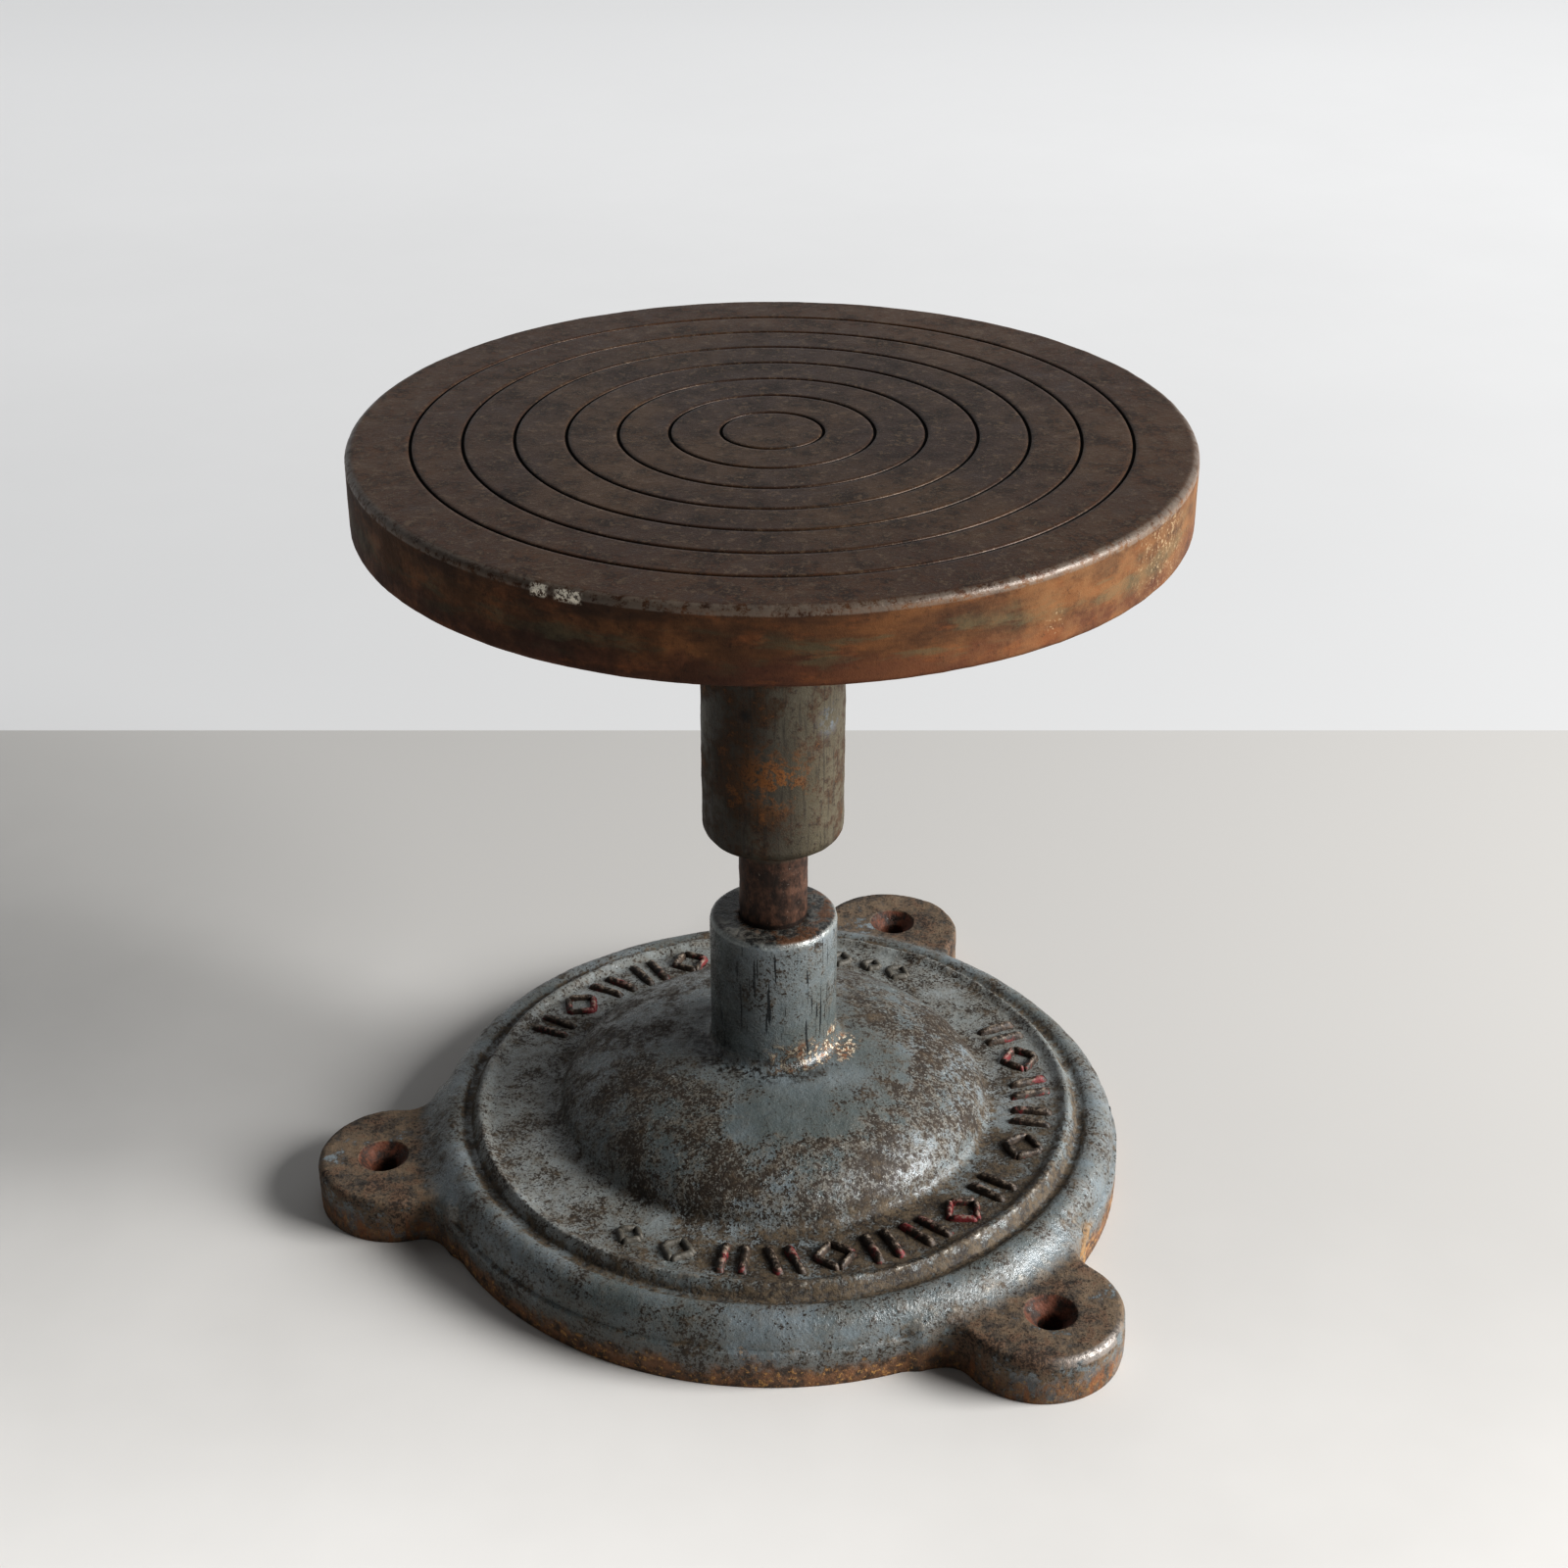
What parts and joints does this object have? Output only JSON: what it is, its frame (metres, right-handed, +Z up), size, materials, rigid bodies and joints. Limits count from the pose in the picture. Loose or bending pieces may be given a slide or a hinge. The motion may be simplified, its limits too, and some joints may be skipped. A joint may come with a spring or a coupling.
{
  "type": "banding wheel",
  "caption": "Bench banding wheel: a heavy grooved iron wheel head on a long hub that spins on a fixed spindle in a round cast base with screw-down lugs.",
  "frame": {"origin": "on the spin axis, in the plane that the base stands on, at the centre of the base boss's flat foot", "axes": "+Z up along the spin axis; -Y is the side that faces the viewer; the lugs lie at -50, 70 and -170 degrees from +X"},
  "size_m": [0.2327, 0.2278, 0.2222],
  "materials": {
    "base_paint": "old blue-grey enamel on cast iron, worn to rust and grime",
    "head_iron": "turned iron with a dark brown-grey patina, rust on the rim",
    "hub_paint": "grey-green paint on steel bar, rusting through",
    "spindle_steel": "brown rusted steel bar",
    "hard_steel": "hardened and ground steel",
    "bronze": "oiled bearing bronze",
    "black_steel": "blackened steel",
    "felt": "grey wool felt, oiled"
  },
  "bodies": {
    "base": {"base_casting": "base_paint", "spindle": "spindle_steel", "spindle_taper_pin": "black_steel", "ball_seat": "hard_steel"},
    "turntable": {"wheel_head": "head_iron", "hub_sleeve": "hub_paint", "lower_bush": "bronze", "upper_bush": "bronze", "thrust_pad": "hard_steel", "felt_dust_ring": "felt", "hub_lock_screw_1": "black_steel", "hub_lock_screw_2": "black_steel"},
    "ball": {"thrust_ball": "hard_steel"}
  },
  "joints": [
    {"name": "wheel_spin", "type": "hinge", "parent": "base", "child": "turntable", "pos_m": [0, 0, 0.15], "axis": [0, 0, 1], "continuous": true},
    {"name": "ball_spin", "type": "hinge", "parent": "base", "child": "ball", "pos_m": [0, 0, 0.1926], "axis": [0, 0, 1], "continuous": true}
  ],
  "couplings": [
    {"joint": "ball_spin", "follows": "wheel_spin", "ratio": 0.5}
  ]
}
